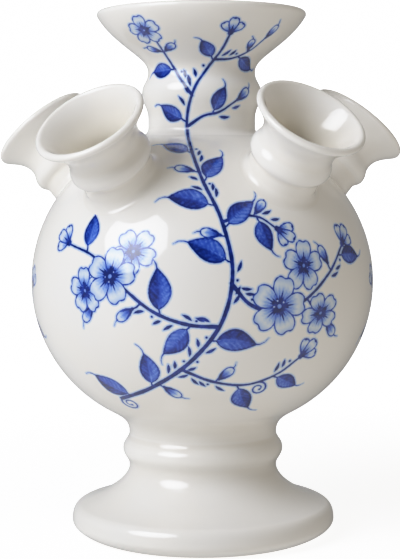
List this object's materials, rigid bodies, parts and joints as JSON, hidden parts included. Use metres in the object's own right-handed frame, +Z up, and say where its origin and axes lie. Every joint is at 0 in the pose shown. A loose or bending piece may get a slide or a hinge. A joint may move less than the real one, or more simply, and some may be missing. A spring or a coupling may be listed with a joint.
{
  "type": "tulip vase",
  "caption": "Glazed ceramic tulip vase: a globe on a pedestal foot with a bowl-mouthed neck and flared spouts round its shoulder, for holding single flower stems in water.",
  "frame": {"origin": "centre of the foot's resting ring, on the surface that the vase stands on", "axes": "+Z up along the vase's axis, -Y towards the painted front between the two front spouts, +X to the right seen from the front"},
  "size_m": [0.1894, 0.1842, 0.24],
  "materials": {
    "glaze": "glossy warm white glaze, brush-painted in cobalt blue on the neck and the globe",
    "slip": "luting slip under the same glossy glaze"
  },
  "bodies": {
    "root": {"pedestal_foot": "glaze", "globe": "glaze", "neck": "glaze", "spout_front_left": "glaze", "spout_front_right": "glaze", "spout_right": "glaze", "spout_back": "glaze", "spout_left": "glaze", "foot_luting": "slip", "neck_luting": "slip", "spout_front_left_luting": "slip", "spout_front_right_luting": "slip", "spout_right_luting": "slip", "spout_back_luting": "slip", "spout_left_luting": "slip"}
  },
  "joints": []
}
